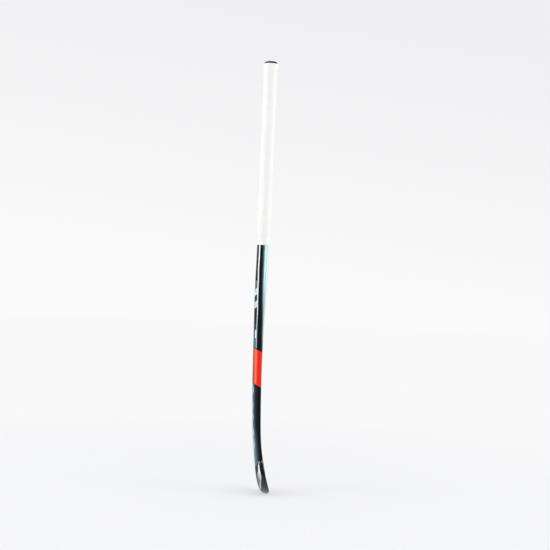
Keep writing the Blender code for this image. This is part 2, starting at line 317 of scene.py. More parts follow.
# The top of the handle's end cap sits on the handle's axis, and fixes the layout's place
AXIS_LOW, AXIS_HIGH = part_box("butt_cap")
CROWN_TOP = bow(0.0, CAP_RIM + CROWN_HEIGHT, 0.0)
RIM_DEPTHS = [depth for _, depth in outline(CAP_RIM, -RIM_OUTSIDE)]
RIM_MIDDLE = bow(0.0, CAP_RIM, (min(RIM_DEPTHS) + max(RIM_DEPTHS)) / 2)
PLACE = Vector((
    (AXIS_LOW.x + AXIS_HIGH.x) / 2,
    (AXIS_LOW.y + AXIS_HIGH.y) / 2 - RIM_MIDDLE.y,
    AXIS_HIGH.z - CROWN_TOP.z,
))


# ---------------------------------------------------------------- meshes

def new_object(name, data):
    made = bpy.data.objects.new(name, data)
    bpy.context.scene.collection.objects.link(made)
    return made


class Skin:
    """A mesh in the flat layout, with the coordinates that its pattern follows.

    form is kept at each point: distance round the section from the middle of the face,
    run, and share of the depth. wrap is kept at each corner of a face: the same distance
    with its side's sign, and run.
    """

    def __init__(self):
        self.mesh = bmesh.new()
        self.form = self.mesh.verts.layers.float_vector.new("form")
        self.wrap = self.mesh.loops.layers.uv.new("wrap")

    def vert(self, place, form):
        made = self.mesh.verts.new(place)
        made[self.form] = form
        return made

    def face(self, verts, wraps, slot=0):
        made = self.mesh.faces.new(verts)
        made.material_index = slot
        for loop, wrap in zip(made.loops, wraps):
            loop[self.wrap].uv = wrap
        return made

    def finish(self, name, materials, sharp=35):
        """Bends the layout, turns the faces outwards and makes the object."""
        for vert in self.mesh.verts:
            vert.co = bow(*vert.co) + PLACE
        bmesh.ops.recalc_face_normals(self.mesh, faces=self.mesh.faces)
        data = bpy.data.meshes.new(name)
        self.mesh.to_mesh(data)
        self.mesh.free()
        data.shade_smooth()
        data.set_sharp_from_angle(angle=math.radians(sharp))
        for material in materials:
            data.materials.append(material)
        return new_object(name, data)


def girths(points):
    """Signed distance of each outline point from the middle of the face, and the total."""
    walked = [0.0]
    for a, b in zip(points, points[1:] + points[:1]):
        walked.append(walked[-1] + math.dist(a, b))
    middle = walked[FACE_PARTS // 2]
    return [length - middle for length in walked], walked[-1]


BACK_MIDDLE = FACE_PARTS + CORNER_PARTS + BACK_PARTS // 2


class Ring:
    """One section's points on a skin, with their places round it."""

    def __init__(self, skin, run, points):
        self.run = run
        self.girths, self.total = girths(points)
        lowest = min(depth for _, depth in points)
        thick = max(depth for _, depth in points) - lowest
        self.verts = []
        for i, (across, depth) in enumerate(points):
            round_face = min(abs(self.girths[i]), self.total - abs(self.girths[i]))
            form = (round_face, run, (depth - lowest) / thick)
            self.verts.append(skin.vert(on_layout(run, across, depth), form))

    def wrap(self, i):
        """Pattern places of the two ends of the outline's side number i."""
        back = self.total if i >= BACK_MIDDLE else 0.0
        return (self.girths[i] - back, self.run), (self.girths[i + 1] - back, self.run)


def join(skin, low, high, slot=0):
    """Quads between two rings."""
    count = len(low.verts)
    for i in range(count):
        after = (i + 1) % count
        (a, b), (d, c) = low.wrap(i), high.wrap(i)
        corners = (low.verts[i], low.verts[after], high.verts[after], high.verts[i])
        skin.face(corners, (a, b, c, d), slot)


def loft(skin, rings, slot=0):
    for low, high in zip(rings, rings[1:]):
        join(skin, low, high, slot)


def close(skin, ring, slot=0):
    skin.face(ring.verts, [ring.wrap(i)[0] for i in range(len(ring.verts))], slot)


def stick_shell(lacquer, laminate):
    """The hollow laminate: lacquered outside, bare inside."""
    skin = Skin()
    arc = spread(TOE_RUN, ARC_TOP, ARC_LENGTH / ARC_PARTS)
    shaft = spread(ARC_TOP, STRAIGHT_START, SHAFT_STEP)[1:]
    shaft += spread(STRAIGHT_START, SHELL_END, HANDLE_STEP)[1:]
    tip = [TIP_RUN + run for run in TIP_RUNS]
    outer = [Ring(skin, run, outline(run, 0.0)) for run in tip + arc + shaft]
    bore = [TIP_RUN + HEAD_WALL + run * (TOE_CAP - HEAD_WALL) / TOE_CAP for run in TIP_RUNS[3::2]]
    bore += arc[::2] + shaft[::3]
    if bore[-1] < SHELL_END:
        bore.append(SHELL_END)
    inner = [Ring(skin, run, outline(run, wall_at(run))) for run in bore]
    loft(skin, outer)
    loft(skin, inner, 1)
    close(skin, outer[0])
    close(skin, inner[0], 1)
    join(skin, outer[-1], inner[-1], 1)
    return skin.finish("lacquered_shell", (lacquer, laminate))


class Handle:
    """The laminate's surface along the handle, read by run, column and distance."""

    def __init__(self, low, high, step=6.0):
        self.runs = spread(low, high, step)
        self.rows = [self.even_row(run) for run in self.runs]

    @staticmethod
    def even_row(run):
        """Points and outward directions at even distances round one section."""
        points = outline(run, 0.0)
        lengths, total = girths(points)
        ends = points + points[:1]
        row = []
        i = 0
        for column in range(COLUMNS):
            at = lengths[0] + total * column / COLUMNS
            while lengths[i + 1] <= at and i < len(points) - 1:
                i += 1
            t = (at - lengths[i]) / (lengths[i + 1] - lengths[i])
            row.append(Vector(ends[i]).lerp(Vector(ends[i + 1]), t))
        made = []
        for column, point in enumerate(row):
            along = (row[(column + 1) % COLUMNS] - row[column - 1]).normalized()
            made.append((point, Vector((along.y, -along.x))))
        return made

    def place(self, run, column, distance):
        at = (run - self.runs[0]) / (self.runs[1] - self.runs[0])
        i = min(max(int(at), 0), len(self.runs) - 2)
        (a, a_out), (b, b_out) = (row[column % COLUMNS] for row in self.rows[i:i + 2])
        t = at - i
        point = a.lerp(b, t) + a_out.lerp(b_out, t).normalized() * distance
        return Vector((point.x, run, point.y))


def cut_level(skin, level, keep_above):
    """Cuts a closed skin at one height of the layout and closes it again."""
    mesh = skin.mesh
    found = bmesh.ops.bisect_plane(
        mesh,
        geom=mesh.verts[:] + mesh.edges[:] + mesh.faces[:],
        dist=0.001,
        plane_co=(0.0, level, 0.0),
        plane_no=(0.0, -1.0 if keep_above else 1.0, 0.0),
        clear_outer=True,
    )
    edges = [item for item in found["geom_cut"] if isinstance(item, bmesh.types.BMEdge)]
    bmesh.ops.holes_fill(mesh, edges=edges, sides=0)


def eased(t):
    """0 up to 0, 1 from 1 on, and a smooth curve between."""
    t = min(1.0, max(0.0, t))
    return t * t * (3 - 2 * t)


def wind(skin, loops):
    """Joins the loops across a wound strip, one after the other, and closes its ends."""
    for a, b in zip(loops, loops[1:]):
        for i, vert in enumerate(a):
            after = (i + 1) % len(a)
            corners = (vert, a[after], b[after], b[i])
            skin.face(corners, [corner[skin.form].xy for corner in corners])
    for loop in (loops[0], loops[-1]):
        skin.face(loop, [vert[skin.form].xy for vert in loop])


def pared(at):
    """Thickness of the grip strip across its width, as a share of the full thickness."""
    edge = min(at, STRIP_WIDTH - at)
    return PARED_EDGE + (1 - PARED_EDGE) * min(1.0, edge / GRIP_OVERLAP)


def grip_offsets(at, run):
    """Inner and outer distance of the strip from the laminate, at a place across it."""
    inner, outer = straight_table(GRIP_LAYER, run)
    full = outer - inner
    lift = 0.0
    if at > GRIP_PITCH - STRIP_CLIMB:
        below = pared(max(at - GRIP_PITCH, 0.0)) * full + TURN_GAP
        lift = below * eased((at - GRIP_PITCH + STRIP_CLIMB) / STRIP_CLIMB)
    crown = STRIP_CROWN * math.sin(math.pi * min(at, GRIP_PITCH) / GRIP_PITCH)
    return inner + lift, inner + lift + full * pared(at) + crown


def cushion_grip(material):
    """One long strip, wound upwards round the handle with overlapping turns."""
    low, high = GRIP_LAYER[0][0], GRIP_LAYER[-1][0]
    handle = Handle(low - GRIP_PITCH - STRIP_WIDTH, high + GRIP_PITCH + STRIP_WIDTH)
    steps = math.ceil((high - low + STRIP_WIDTH) / GRIP_PITCH * COLUMNS) + COLUMNS
    skin = Skin()
    loops = []
    for step in range(steps):
        base = low - STRIP_WIDTH + GRIP_PITCH * step / COLUMNS
        along = step * HANDLE_GIRTH / COLUMNS
        outer, inner = [], []
        for at in STRIP_PLACES:
            run = base + at
            near, far = grip_offsets(at, min(max(run, low), high))
            outer.append(skin.vert(handle.place(run, step, far), (at, along, 1.0)))
            inner.append(skin.vert(handle.place(run, step, near), (at, along, 0.0)))
        loops.append(outer + inner[::-1])
    wind(skin, loops)
    bmesh.ops.recalc_face_normals(skin.mesh, faces=skin.mesh.faces)
    cut_level(skin, low, True)
    cut_level(skin, high, False)
    return skin.finish("cushion_grip", (material,))


def closing_tape(material):
    """A tape wound once and a third round the end of the grip, its end lapped over."""
    low, high = TAPE_LAYER[0][0], TAPE_LAYER[-1][0]
    handle = Handle(low - 4.0, high + 4.0, 2.0)
    levels = [low, low + 0.35, low + 1.4, *spread(low + 5.0, high - 2.0, 4.0), high - 0.35, high]
    skin = Skin()
    loops = []
    for step in range(round(TAPE_TURNS * COLUMNS) + 1):
        turn = step / COLUMNS
        lap = eased((turn - 1 + TAPE_CLIMB) / TAPE_CLIMB)
        lift = (TAPE_THICKNESS + LAP_AIR) * lap
        column = TAPE_START + step
        outer, inner = [], []
        for level in levels:
            crease = 0.035 * math.sin(level * 1.3 + turn * 9.0) + 0.03 * math.sin(turn * 31.0)
            near = straight_table(TAPE_LAYER, level)[0] + TAPE_AIR + lift
            far = near + TAPE_THICKNESS + min(crease, 0.02)
            form = (level - low, turn * HANDLE_GIRTH, lap)
            outer.append(skin.vert(handle.place(level, column, far), form))
            inner.append(skin.vert(handle.place(level, column, near), form))
        loops.append(outer + inner[::-1])
    wind(skin, loops)
    return skin.finish("closing_tape", (material,))


def end_cap(material):
    """The rubber cup on the butt, with a ring groove and a dimple moulded into its top."""
    inside, outside = SKIRT_LAYER
    rim = outline(CAP_RIM, -RIM_OUTSIDE)
    centre = (min(depth for _, depth in rim) + max(depth for _, depth in rim)) / 2
    top = []
    for i in range(CROWN_PARTS + 1):
        angle = math.radians(CROWN_ANGLE) * i / CROWN_PARTS
        share = math.cos(angle) ** CROWN_SHAPE
        if share > CROWN_EDGE:
            top.append((share, CROWN_HEIGHT * math.sin(angle) ** CROWN_SHAPE))
    top += [(share, CROWN_HEIGHT - drop) for share, drop in CAP_TOP]
    skin = Skin()
    crown = []
    for share, height in reversed(top):
        points = [(across * share, centre + (depth - centre) * share) for across, depth in rim]
        crown.append(Ring(skin, CAP_RIM + height, points))
    outer = crown + [Ring(skin, SKIRT_START, outline(SKIRT_START, -outside))]
    inner = [Ring(skin, run, outline(run, -inside)) for run in (SHELL_END + FIT, SKIRT_START)]
    loft(skin, outer)
    loft(skin, inner)
    close(skin, outer[0])
    close(skin, inner[0])
    join(skin, inner[-1], outer[-1])
    return skin.finish("end_cap", (material,), 50)


# ---------------------------------------------------------------- materials

def tone(code):
    """A colour in linear light, from its usual six hexadecimal digits."""
    parts = [int(code[i:i + 2], 16) / 255 for i in (0, 2, 4)]
    linear = [part / 12.92 if part <= 0.04045 else ((part + 0.055) / 1.055) ** 2.4 for part in parts]
    return (*linear, 1.0)


class Nodes:
    """A short way to write the nodes of a tree."""

    def __init__(self, tree):
        self.tree = tree

    def node(self, kind, values=(), **settings):
        made = self.tree.nodes.new("ShaderNode" + kind)
        for name, value in settings.items():
            setattr(made, name, value)
        pairs = values.items() if isinstance(values, dict) else enumerate(values)
        for socket, value in pairs:
            self.put(made.inputs[socket], value)
        return made

    def put(self, socket, value):
        if isinstance(value, bpy.types.NodeSocket):
            self.tree.links.new(value, socket)
        else:
            socket.default_value = value

    def math(self, operation, *values):
        return self.node("Math", values, operation=operation).outputs[0]

    def add(self, *values):
        return reduce(lambda total, value: self.math("ADD", total, value), values)

    def times(self, *values):
        return reduce(lambda total, value: self.math("MULTIPLY", total, value), values)

    def minus(self, value, less):
        return self.math("SUBTRACT", value, less)

    def rise(self, value, low, high):
        """0 below low and 1 above high, or the other way round if low is the higher."""
        sockets = {"Value": value, "From Min": low, "From Max": high}
        return self.node("MapRange", sockets, interpolation_type="SMOOTHSTEP").outputs[0]

    def mix(self, share, low, high):
        made = self.node("Mix", data_type="RGBA")
        for index, value in ((0, share), (6, low), (7, high)):
            self.put(made.inputs[index], value)
        return made.outputs[2]

    def ramp(self, value, stops, interpolation="LINEAR"):
        """Colour read from stops (place, colour); the places rise and keep their own units."""
        low, high = stops[0][0], stops[-1][0]
        at = self.node("MapRange", {"Value": value, "From Min": low, "From Max": high}).outputs[0]
        made = self.node("ValToRGB", (at,))
        ramp = made.color_ramp
        ramp.interpolation = interpolation
        while len(ramp.elements) < len(stops):
            ramp.elements.new(1.0)
        for element, (place, colour) in zip(ramp.elements, stops):
            element.position = (place - low) / (high - low)
            element.color = colour if not isinstance(colour, float) else (colour,) * 3 + (1.0,)
        return made.outputs[0]

    def noise(self, vector, scale, detail=3.0, roughness=0.5):
        sockets = {"Vector": vector, "Scale": scale, "Detail": detail, "Roughness": roughness}
        return self.node("TexNoise", sockets).outputs[0]

    def stretched(self, vector, *scales):
        return self.node("VectorMath", (vector, scales), operation="MULTIPLY").outputs[0]

    def split(self, vector):
        return self.node("SeparateXYZ", (vector,)).outputs[:3]

    def attribute(self, name):
        return self.node("Attribute", attribute_name=name).outputs["Vector"]

    def place(self):
        """Position on the object, in metres."""
        return self.node("TexCoord").outputs["Object"]

    def bump(self, height, distance, strength=1.0, normal=None):
        """A bump whose full height is a distance in metres."""
        made = self.node("Bump", {"Strength": strength, "Distance": distance, "Height": height})
        if normal is not None:
            self.put(made.inputs["Normal"], normal)
        return made.outputs[0]


class Look(Nodes):
    """A material, with the nodes that make its looks."""

    def __init__(self, name, **uniform):
        self.material = bpy.data.materials.new(name)
        self.material.use_nodes = True
        super().__init__(self.material.node_tree)
        self.shader = self.tree.nodes["Principled BSDF"]
        for socket, value in uniform.items():
            self.shader.inputs[socket.replace("_", " ")].default_value = value

    def finish(self, colour, roughness, normal):
        self.put(self.shader.inputs["Base Color"], colour)
        self.put(self.shader.inputs["Roughness"], roughness)
        self.put(self.shader.inputs["Normal"], normal)
        return self.material


def twill(look, vector, tow):
    """Two-up, two-down twill: which way the upper tow runs (0 or 1), and its height."""
    u, v, _ = look.split(vector)
    u = look.math("DIVIDE", u, tow)
    v = look.math("DIVIDE", v, tow)
    cell = look.add(look.math("FLOOR", u), look.math("FLOOR", v))
    warp = look.math("LESS_THAN", look.math("FLOORED_MODULO", cell, 4.0), 1.5)
    heights = []
    for value in (u, v):
        heights.append(look.math("SINE", look.times(look.math("FRACT", value), math.pi)))
    weft_part = look.times(heights[1], look.minus(1.0, warp))
    return warp, look.add(look.times(heights[0], warp), weft_part)


# The print, with some highlights and reflections painted into it. Places along the stick are runs,
# places round it are shares of the depth unless a comment says otherwise, and a pair that begins
# or ends a part of the print gives where it is not yet seen and where it is full.

# The band: runs of its lower and upper edge at the middle of the back, how far each edge
# drops per distance round the section, and the width of its dark edge
BAND = (239.2, 314.3)
BAND_SLANT = (0.50, 0.44)
BAND_MIDDLE_ROUND = 51.0
BAND_EDGE = 2.3
BAND_SOFT = 0.4
# Red tones across the depth: print, with a painted highlight in the salmon tones near 0.62 to 0.73
RED_PRINT_AND_HIGHLIGHT_TONES = (
    (0, "e8281a"), (0.20, "fa2a16"), (0.34, "ff2810"), (0.46, "ff2c14"), (0.53, "f03c20"),
    (0.62, "ff7454"), (0.73, "ff8e6c"), (0.81, "dc5c3c"), (0.90, "d65e3e"), (1, "c85636"),
)
# Where the red turns brown towards the back and lower down: a painted dark reflection
BROWN_REFLECTION_SIDE = (0.80, 0.94)
BROWN_REFLECTION_RUN = (292.0, 246.0)

# The panel on the back above the band
PANEL_START = (290.0, 300.0)
PANEL_EDGE = (
    (306, 0.74), (322, 0.745), (345, 0.765), (391, 0.755), (409, 0.79), (458, 0.81),
    (478, 0.845), (531, 0.83),
)
# The stripe beside the panel is print with a painted highlight on it, paler higher up
PINSTRIPE_WITH_HIGHLIGHT = 0.085           # width of the stripe beside the panel
PINSTRIPE_HIGHLIGHT_TONES = (
    (300, "b4c2c6"), (345, "b8c6cc"), (368, "ccd0d2"), (391, "e9eef0"), (458, "ffffff"),
)
BAR_SLANT = 0.55
BAR_SIDE = 13.0             # half width of the panel
SLANTED_BARS = (
    (314, "43808c"), (329, "4a666c"), (347, "1f4348"), (360, "12181c"),
    (394, "c8dede"), (409, "1e2a3c"), (422, "c8e8ea"), (437, "5a7a80"),
    (454, "0e1518"), (470, "1b1a1d"), (497, "363337"), (512, "454146"), (560, "454146"),
)
BLOCK_RUN = (328.0, 346.0)
BLOCK_SIDE = (0.875, 0.855)

# The fade of the face side, print with a painted reflection in its palest tones: its tones, how far
# round it reaches, the width of its fringe, the thin line in it and its pale rim, a painted highlight
FACE_START = (290.0, 302.0)
FACE_FADE = (
    (306, "465056"), (322, "56646a"), (334, "6f898a"), (345, "789692"),
    (368, "84a6a4"), (391, "96b6b6"), (409, "a2bec8"), (433, "bcd8e0"),
    (458, "daf4f8"), (478, "deffff"), (531, "dbffff"),
)
FADE_REACH = (
    (306, 0.12), (322, 0.15), (345, 0.18), (368, 0.23), (391, 0.28), (409, 0.33),
    (433, 0.36), (478, 0.40), (531, 0.43),
)
FRINGE_WIDTH = ((306, 0.05), (400, 0.06), (458, 0.11), (531, 0.15))
LINE_SIDES = ((0.12, 0.14), (0.21, 0.19))
LINE_START = (430.0, 460.0)
FACE_CORNER_HIGHLIGHT_SIDE = (0.12, 0.04)
FACE_CORNER_HIGHLIGHT_START = (310.0, 360.0)

# The lower back: teal whose tones change between two runs, and wavy stripes that reach a
# share of WAVE_REACH from the middle, towards the toe side and towards the heel side
BACK_SIDE = (0.25, 0.42)
BACK_END = (49.0, 54.0)
BACK_END_SLANT = 0.35
BACK_CHANGE = (150.0, 100.0)
# The blue-grey middle tones between black and teal are a painted reflection; the teal itself is print
UPPER_BACK = (
    (0.36, "15181b"), (0.48, "1b1f22"), (0.56, "22292f"), (0.66, "25303a"), (0.78, "384d57"),
    (0.88, "4f7277"), (1, "5f8488"),
)
LOWER_BACK = (
    (0.25, "191b1f"), (0.42, "282e33"), (0.54, "3a444a"), (0.67, "4c6067"), (0.79, "5f868c"),
    (1, "6e969a"),
)
WAVE_REACH = 18.0
WAVE_SIDE = (0.60, 0.65)
TOE_WAVE = (
    (40, 0.50), (75, 0.48), (104, 0.94), (115, 0.78), (127, 0.95), (147, 0.60),
    (160, 0.88), (171, 0.66), (183, 0.88), (202, 0.58), (217, 0.90), (234, 0.60),
    (262, 0.62),
)
HEEL_WAVE = (
    (40, 0.75), (66, 0.50), (92, 0.92), (112, 0.60), (134, 0.85), (152, 0.55),
    (176, 0.95), (196, 0.65), (212, 0.90), (238, 0.50), (262, 0.70),
)
WAVE_STRIPES = (            # from the toe side's edge (0) to the heel side's (1)
    (0, "d8eff2"), (0.20, "78a2a7"), (0.25, "b4d6da"), (0.46, "6b959b"), (0.52, "d8eff2"),
    (0.74, "78a2a7"), (0.78, "a9ced2"), (1, "a9ced2"),
)

# The painted reflection on the toe, down its outer back edge and ending in a painted highlight line:
# its lower and upper edge, and how far round the section it goes, as a share of its reach
TOE_REFLECTION_START = (-8.0, -16.0)
TOE_REFLECTION_LOW = (
    (-70, 0.72), (-60, 0.64), (-52, 0.58), (-46, 0.58), (-41, 0.67), (-36, 0.74),
    (-31, 0.79), (-20, 0.86), (-10, 0.95),
)
TOE_REFLECTION_HIGH = ((-70, 0.78), (-60, 0.83), (-55, 0.87), (-51, 0.94), (-48.5, 1.2))
TOE_REFLECTION_REACH = 50.0
TOE_REFLECTION_ROUND = (
    (-70, 0.72), (-53, 0.80), (-48, 0.94), (-34, 0.97), (-18, 0.92), (-8, 0.74),
)
TOE_REFLECTION_TONES = (
    (-70, "dcdde0"), (-57, "fafbfd"), (-52, "e4e5ea"), (-47.5, "ced0d5"), (-42, "a2a6ae"),
    (-37, "6c757e"), (-30, "8a9097"), (-20, "9aa0a7"),
)
TOE_REFLECTION_LINE_START = (-50.0, -46.0)

# Painted highlight on the face-side edge of the tip, and wear of the lacquer: scuffs up to a height in
# metres
TIP_EDGE_HIGHLIGHT_SIDE = (0.17, 0.05)
TIP_EDGE_HIGHLIGHT_RUN = (-52.0, -63.0)
SCUFF_HEIGHT = (0.075, 0.004)

TOW_WIDTH = 2.2
HOLE_SPACING = 3.4


def tones(stops):
    return [(at, tone(code)) for at, code in stops]


def lacquer_look():
    """Clear-coated black laminate with its print, its wear, and some highlights and reflections painted
    in with the print.
    """
    look = Look("shell_lacquer", Coat_Weight=1.0, Coat_Roughness=0.03, Specular_IOR_Level=0.05)
    around, run, depth = look.split(look.attribute("form"))
    wrap = look.node("UVMap", uv_map="wrap").outputs[0]
    side = look.split(wrap)[0]
    place = look.place()
    across = look.times(look.minus(look.split(place)[0], PLACE.x), 1 / MM)
    cloud = look.noise(place, 60.0, 4.0)
    fine = look.noise(place, 900.0, 2.0)

    warp, tow = twill(look, wrap, TOW_WIDTH)
    black = look.mix(warp, tone("111418"), tone("161a1f"))
    colour = look.mix(look.times(cloud, 0.5), black, tone("0d1014"))

    below_band = look.rise(run, BAND[0] + 10.0, BAND[0])
    colour = look.mix(below_band, colour, back_print_and_reflection(look, colour, across, run, depth))
    colour = face_print_and_reflection(look, colour, run, depth, cloud)
    colour = printed_panel_and_highlight(look, colour, across, run, depth, look.math("LESS_THAN", side, 0.0))
    colour = band_print_and_reflections(look, colour, around, run, depth, fine)
    # Painted reflection on the toe, ending in a painted highlight line
    colour = painted_toe_reflection(look, colour, side, run, depth)

    # Painted highlight, light grey, along the face-side edge of the tip
    tip_edge_highlight = look.times(look.rise(depth, *TIP_EDGE_HIGHLIGHT_SIDE), look.rise(run, *TIP_EDGE_HIGHLIGHT_RUN))
    colour = look.mix(look.times(tip_edge_highlight, look.add(cloud, 0.1)), colour, tone("a4a6ac"))
    streaks = look.noise(look.stretched(place, 60.0, 60.0, 900.0), 1.0, 5.0, 0.7)
    low_part = look.rise(look.split(place)[2], *SCUFF_HEIGHT)
    scuff = look.times(look.rise(streaks, 0.60, 0.72), low_part)
    colour = look.mix(look.times(scuff, 0.25), colour, tone("55585c"))
    roughness = look.add(0.24, look.times(scuff, 0.3), look.times(fine, 0.08))

    weave = look.bump(tow, 0.00004, 0.5)
    normal = look.bump(fine, 0.00001, 0.4, weave)
    look.put(look.shader.inputs["Coat Normal"], look.bump(look.noise(place, 260.0, 2.0), 0.00002, 0.25))
    return look.finish(colour, roughness, normal)


def face_print_and_reflection(look, colour, run, depth, cloud):
    """The fade of the face side: a teal fringe, the fade itself with a painted reflection in its palest
    tones, a line, and a pale rim that is a painted highlight.
    """
    reach = look.ramp(run, FADE_REACH)
    ragged = look.times(look.minus(cloud, 0.5), 0.05)
    inside = look.minus(look.add(reach, ragged), depth)
    above = look.rise(run, *FACE_START)
    faded = look.ramp(run, tones(FACE_FADE))
    fringe = look.mix(0.84, faded, tone("1f4a4f"))
    start = look.times(look.ramp(run, FRINGE_WIDTH), -1.0)
    colour = look.mix(look.times(look.rise(inside, start, 0.02), above), colour, fringe)
    colour = look.mix(look.times(look.rise(inside, 0.02, 0.09), above), colour, faded)
    sides = [look.rise(depth, *side) for side in LINE_SIDES]
    line = look.times(*sides, look.rise(run, *LINE_START))
    colour = look.mix(look.times(line, 0.9), colour, tone("8ccbce"))
    # The pale rim along the face-side corner is a painted highlight
    rim = look.times(look.rise(depth, *FACE_CORNER_HIGHLIGHT_SIDE), look.rise(run, *FACE_CORNER_HIGHLIGHT_START))
    return look.mix(look.times(rim, 0.85), colour, tone("f2ffff"))


def printed_panel_and_highlight(look, colour, across, run, depth, toe_side):
    """Slanted bars in a panel on the back, a stripe beside it that is print with a painted highlight on
    it, and a bright block.
    """
    above = look.rise(run, *PANEL_START)
    edge = look.ramp(run, PANEL_EDGE)
    slanted = look.add(run, look.times(look.add(across, BAR_SIDE), BAR_SLANT))
    bars = look.ramp(slanted, tones(SLANTED_BARS), "CONSTANT")
    block = look.times(
        look.rise(slanted, BLOCK_RUN[0], BLOCK_RUN[0] + 1.0),
        look.rise(slanted, BLOCK_RUN[1], BLOCK_RUN[1] - 1.0),
        look.rise(depth, *BLOCK_SIDE),
        toe_side,
    )
    bars = look.mix(block, bars, tone("f2fafc"))
    # Pale stripe beside the panel: print with a painted highlight on it
    stripe_and_highlight = look.rise(depth, look.add(edge, -PINSTRIPE_WITH_HIGHLIGHT - 0.012), look.add(edge, -PINSTRIPE_WITH_HIGHLIGHT + 0.012))
    colour = look.mix(look.times(stripe_and_highlight, above), colour, look.ramp(run, tones(PINSTRIPE_HIGHLIGHT_TONES)))
    inner = look.rise(depth, look.add(edge, -0.01), look.add(edge, 0.01))
    return look.mix(look.times(inner, above), colour, bars)


def back_print_and_reflection(look, colour, across, run, depth):
    """Teal fading in towards the back, its blue-grey middle tones a painted reflection, with pale wavy
    stripes down its middle.
    """
    wander = look.times(look.minus(look.noise(look.place(), 35.0, 2.0), 0.5), 0.16)
    ends = look.rise(look.add(run, look.times(across, BACK_END_SLANT)), *BACK_END)
    at = look.add(depth, look.times(wander, 0.35))
    lower = look.rise(run, *BACK_CHANGE)
    back = look.mix(lower, look.ramp(at, tones(UPPER_BACK)), look.ramp(at, tones(LOWER_BACK)))
    colour = look.mix(look.times(look.rise(depth, *BACK_SIDE), ends), colour, back)
    reaches = {
        "Value": look.add(across, look.times(wander, 12.0)),
        "From Min": look.times(look.ramp(run, TOE_WAVE, "EASE"), -WAVE_REACH),
        "From Max": look.times(look.ramp(run, HEEL_WAVE, "EASE"), WAVE_REACH),
    }
    share = look.node("MapRange", reaches).outputs[0]
    both = look.times(look.rise(share, 0.0, 0.03), look.rise(share, 1.0, 0.97))
    inside = look.times(both, look.rise(depth, *WAVE_SIDE))
    mint = look.ramp(share, tones(WAVE_STRIPES), "CONSTANT")
    return look.mix(look.times(inside, ends), colour, mint)


def band_print_and_reflections(look, colour, around, run, depth, fine):
    """The red band with dark edges: a painted highlight in its salmon tones, and a painted dark
    reflection that makes it browner towards the back and lower down.
    """
    from_middle = look.minus(around, BAND_MIDDLE_ROUND)
    low = look.minus(run, look.times(from_middle, BAND_SLANT[0]))
    high = look.minus(run, look.times(from_middle, BAND_SLANT[1]))

    def between(wider):
        start, end = BAND[0] - wider, BAND[1] + wider
        above = look.rise(low, start, start + BAND_SOFT)
        return look.times(above, look.rise(high, end, end - BAND_SOFT))

    # Red print with a painted highlight in its salmon tones
    red = look.ramp(depth, tones(RED_PRINT_AND_HIGHLIGHT_TONES))
    # Painted dark reflection: browner towards the back and lower down
    brown_reflection = look.times(look.rise(depth, *BROWN_REFLECTION_SIDE), look.rise(run, *BROWN_REFLECTION_RUN))
    red = look.mix(look.times(brown_reflection, 0.75), red, tone("8a4434"))
    red = look.mix(look.times(fine, 0.2), red, tone("f0240f"))
    colour = look.mix(between(BAND_EDGE), colour, tone("1c100d"))
    return look.mix(between(0.0), colour, red)


def painted_toe_reflection(look, colour, side, run, depth):
    """Painted reflection down the outer back edge of the toe, ending in a thin painted highlight line.
    """
    past = look.minus(side, look.times(look.ramp(run, TOE_REFLECTION_ROUND), TOE_REFLECTION_REACH))
    outer = look.times(look.math("GREATER_THAN", side, 0.0), look.rise(past, 0.5, -0.5))
    on_toe = look.times(look.rise(run, *TOE_REFLECTION_START), outer)
    low, high = look.ramp(run, TOE_REFLECTION_LOW), look.ramp(run, TOE_REFLECTION_HIGH)
    shown = look.times(
        look.rise(depth, look.add(low, -0.05), look.add(low, 0.05)),
        look.rise(depth, look.add(high, 0.03), look.add(high, -0.03)),
        on_toe,
    )
    colour = look.mix(shown, colour, look.ramp(run, tones(TOE_REFLECTION_TONES)))
    from_line = look.math("ABSOLUTE", look.minus(depth, look.add(low, 0.03)))
    line = look.times(look.rise(from_line, 0.05, 0.02), look.rise(run, *TOE_REFLECTION_LINE_START), on_toe)
    return look.mix(line, colour, tone("e2e8f0"))


def laminate_look():
    """Bare carbon laminate: woven tows in a thin, dull resin."""
    look = Look("carbon_laminate", Specular_IOR_Level=0.5)
    place = look.place()
    x, y, z = look.split(place)
    flat = look.node("CombineXYZ", (look.add(x, y), z, 0.0)).outputs[0]
    warp, tow = twill(look, flat, 0.002)
    cloud = look.noise(place, 120.0, 4.0)
    fibres = look.noise(look.stretched(place, 3000.0, 3000.0, 120.0), 1.0, 2.0)
    colour = look.mix(warp, tone("1a1b1d"), tone("26282b"))
    colour = look.mix(look.times(cloud, 0.4), colour, tone("121315"))
    roughness = look.add(0.32, look.times(fibres, 0.22))
    return look.finish(colour, roughness, look.bump(look.add(tow, look.times(fibres, 0.3)), 0.00012))


def foam_look():
    """Rigid closed-cell foam, tan, with cut cells."""
    look = Look("rigid_foam", Specular_IOR_Level=0.25)
    place = look.place()
    cells = look.node("TexVoronoi", {"Vector": place, "Scale": 900.0}).outputs["Distance"]
    cloud = look.noise(place, 90.0, 4.0)
    colour = look.mix(cloud, tone("c9ad72"), tone("b8975c"))
    colour = look.mix(look.rise(cells, 0.45, 0.1), colour, tone("8f7444"))
    return look.finish(colour, look.add(0.78, look.times(cloud, 0.16)), look.bump(cells, 0.0003, 0.8))


def elastomer_look():
    """Damping elastomer: dark teal rubber with a fine moulded grain."""
    look = Look("elastomer", Specular_IOR_Level=0.4)
    place = look.place()
    grain = look.noise(place, 1400.0, 3.0)
    cloud = look.noise(place, 70.0, 3.0)
    colour = look.mix(cloud, tone("2c5a5e"), tone("1f474c"))
    colour = look.mix(look.rise(grain, 0.6, 0.75), colour, tone("4c8084"))
    return look.finish(colour, look.add(0.5, look.times(grain, 0.2)), look.bump(grain, 0.0001, 0.6))


